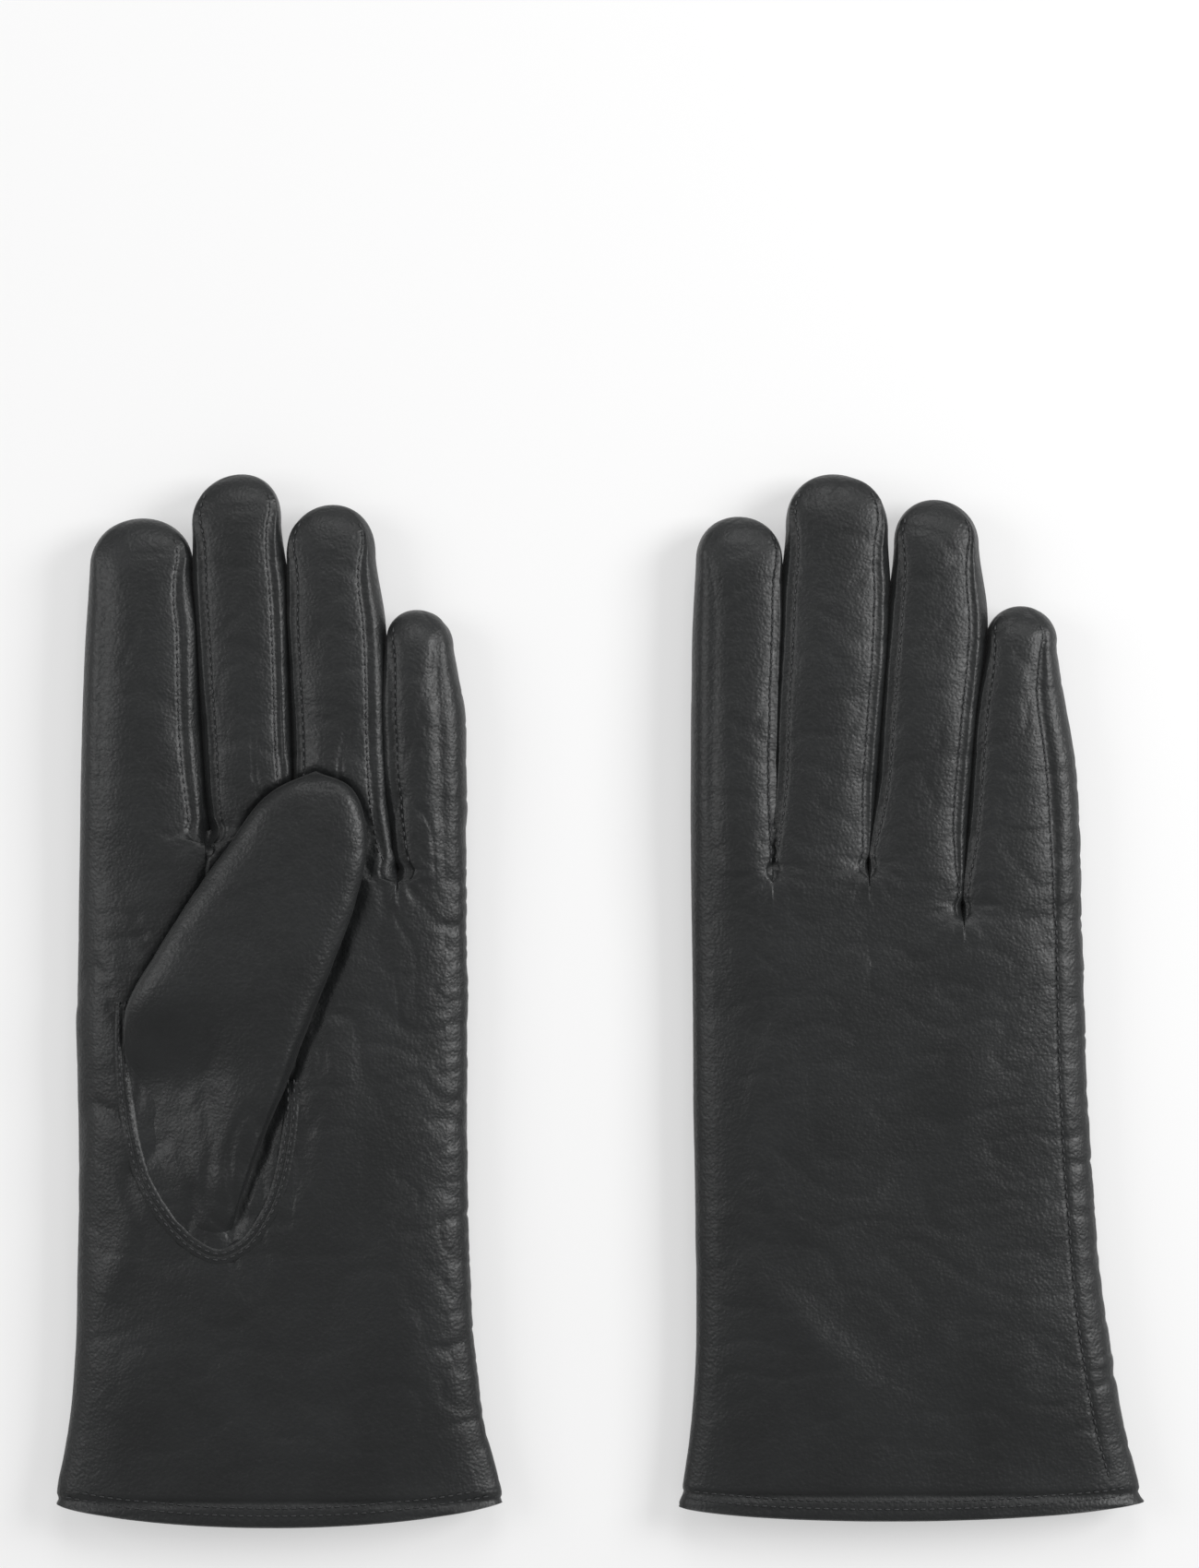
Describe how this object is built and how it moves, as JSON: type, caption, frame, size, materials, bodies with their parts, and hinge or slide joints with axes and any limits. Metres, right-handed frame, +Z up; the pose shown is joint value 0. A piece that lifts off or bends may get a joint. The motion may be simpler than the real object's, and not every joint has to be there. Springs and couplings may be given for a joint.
{
  "type": "leather gloves",
  "caption": "Pair of lined leather dress gloves lying flat side by side, one palm up and one back up, with bending fingers and thumbs.",
  "frame": {"origin": "middle of the pair's footprint, on the surface that the gloves lie on", "axes": "+X towards the little-finger side of both gloves, +Y towards the fingertips, +Z up from the surface"},
  "size_m": [0.2624, 0.254, 0.0283],
  "materials": {
    "glove_leather": "smooth aniline nappa with a soft low sheen",
    "knit_lining": "fine brushed knit",
    "sewing_thread": "tight polyester thread"
  },
  "bodies": {
    "left_hand": {"left_back_panel": "glove_leather", "left_palm_panel": "glove_leather", "left_crotch_gussets": "glove_leather", "left_finger_folds": "glove_leather", "left_hand_lining": "knit_lining", "left_hem_facing": "glove_leather", "left_hem_stitching": "sewing_thread", "left_side_seam_stitching": "sewing_thread", "left_thumb_gusset": "glove_leather", "left_thumb_seam_stitching": "sewing_thread"},
    "left_index": {"left_index_back": "glove_leather", "left_index_palm": "glove_leather", "left_index_fourchettes": "glove_leather", "left_index_lining": "knit_lining"},
    "left_middle": {"left_middle_back": "glove_leather", "left_middle_palm": "glove_leather", "left_middle_fourchettes": "glove_leather", "left_middle_lining": "knit_lining"},
    "left_ring": {"left_ring_back": "glove_leather", "left_ring_palm": "glove_leather", "left_ring_fourchettes": "glove_leather", "left_ring_lining": "knit_lining"},
    "left_little": {"left_little_back": "glove_leather", "left_little_palm": "glove_leather", "left_little_fourchettes": "glove_leather", "left_little_lining": "knit_lining"},
    "left_thumb": {"left_thumb_leather": "glove_leather", "left_thumb_lining": "knit_lining"},
    "right_hand": {"right_back_panel": "glove_leather", "right_palm_panel": "glove_leather", "right_crotch_gussets": "glove_leather", "right_finger_folds": "glove_leather", "right_hand_lining": "knit_lining", "right_hem_facing": "glove_leather", "right_hem_stitching": "sewing_thread", "right_side_seam_stitching": "sewing_thread", "right_thumb_gusset": "glove_leather", "right_thumb_seam_stitching": "sewing_thread"},
    "right_index": {"right_index_back": "glove_leather", "right_index_palm": "glove_leather", "right_index_fourchettes": "glove_leather", "right_index_lining": "knit_lining"},
    "right_middle": {"right_middle_back": "glove_leather", "right_middle_palm": "glove_leather", "right_middle_fourchettes": "glove_leather", "right_middle_lining": "knit_lining"},
    "right_ring": {"right_ring_back": "glove_leather", "right_ring_palm": "glove_leather", "right_ring_fourchettes": "glove_leather", "right_ring_lining": "knit_lining"},
    "right_little": {"right_little_back": "glove_leather", "right_little_palm": "glove_leather", "right_little_fourchettes": "glove_leather", "right_little_lining": "knit_lining"},
    "right_thumb": {"right_thumb_leather": "glove_leather", "right_thumb_lining": "knit_lining"}
  },
  "joints": [
    {"name": "left_index_bend", "type": "hinge", "parent": "left_hand", "child": "left_index", "pos_m": [-0.1104, 0.069, 0.008], "axis": [1, 0, 0], "range_deg": [-15, 85], "deforming": ["left_finger_folds"]},
    {"name": "left_middle_bend", "type": "hinge", "parent": "left_hand", "child": "left_middle", "pos_m": [-0.08545, 0.071, 0.008], "axis": [1, 0, 0], "range_deg": [-15, 85], "deforming": ["left_finger_folds"]},
    {"name": "left_ring_bend", "type": "hinge", "parent": "left_hand", "child": "left_ring", "pos_m": [-0.0628, 0.068, 0.008], "axis": [1, 0, 0], "range_deg": [-15, 85], "deforming": ["left_finger_folds"]},
    {"name": "left_little_bend", "type": "hinge", "parent": "left_hand", "child": "left_little", "pos_m": [-0.04155, 0.057, 0.008], "axis": [1, 0, 0], "range_deg": [-15, 85], "deforming": ["left_finger_folds"]},
    {"name": "left_thumb_swing", "type": "hinge", "parent": "left_hand", "child": "left_thumb", "pos_m": [-0.09075, -0.002, 0.0223], "axis": [0.9026, -0.4305, 0], "range_deg": [0, 95], "deforming": ["left_thumb_gusset"]},
    {"name": "right_index_bend", "type": "hinge", "parent": "right_hand", "child": "right_index", "pos_m": [0.033, 0.0606, 0.008], "axis": [-1, 0, 0], "range_deg": [-15, 85], "deforming": ["right_finger_folds"]},
    {"name": "right_middle_bend", "type": "hinge", "parent": "right_hand", "child": "right_middle", "pos_m": [0.0557, 0.0626, 0.008], "axis": [-1, 0, 0], "range_deg": [-15, 85], "deforming": ["right_finger_folds"]},
    {"name": "right_ring_bend", "type": "hinge", "parent": "right_hand", "child": "right_ring", "pos_m": [0.0794, 0.0606, 0.008], "axis": [-1, 0, 0], "range_deg": [-15, 85], "deforming": ["right_finger_folds"]},
    {"name": "right_little_bend", "type": "hinge", "parent": "right_hand", "child": "right_little", "pos_m": [0.1033, 0.0506, 0.008], "axis": [-1, 0, 0], "range_deg": [-15, 85], "deforming": ["right_finger_folds"]},
    {"name": "right_thumb_swing", "type": "hinge", "parent": "right_hand", "child": "right_thumb", "pos_m": [0.05645, -0.0214, 0.0033], "axis": [-0.5736, 0.8192, 0], "range_deg": [0, 95], "deforming": ["right_thumb_gusset"]},
    {"name": "right_glove_lift", "type": "slide", "parent": "left_hand", "child": "right_hand", "axis": [0, 0, 1], "range_m": [0, 0.15]}
  ]
}
